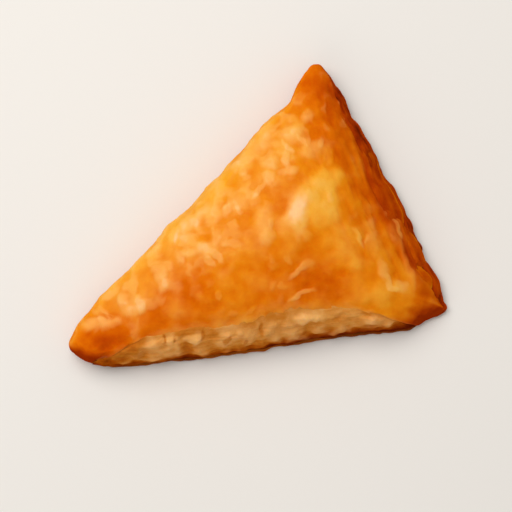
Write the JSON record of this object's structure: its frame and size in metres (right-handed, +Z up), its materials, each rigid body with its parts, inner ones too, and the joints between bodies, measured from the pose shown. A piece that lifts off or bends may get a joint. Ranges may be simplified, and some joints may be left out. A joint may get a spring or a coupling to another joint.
{
  "type": "tiropita",
  "caption": "Triangular puff pastry cheese pie, folded along one side, with a golden egg-washed top and pale risen layers at its cut sides.",
  "frame": {"origin": "middle of the footprint's box, on the flat underside", "axes": "+Z up; +X towards the short cut side, along the long front side; +Y towards the pointed top corner"},
  "size_m": [0.1274, 0.1034, 0.0285],
  "materials": {
    "browned_crust": "egg-washed, golden brown, blistered and flaky, satin gloss",
    "pale_layers": "pale cream, crumbly, layered, matte"
  },
  "bodies": {
    "root": {"tiropita": "browned_crust"}
  },
  "joints": []
}
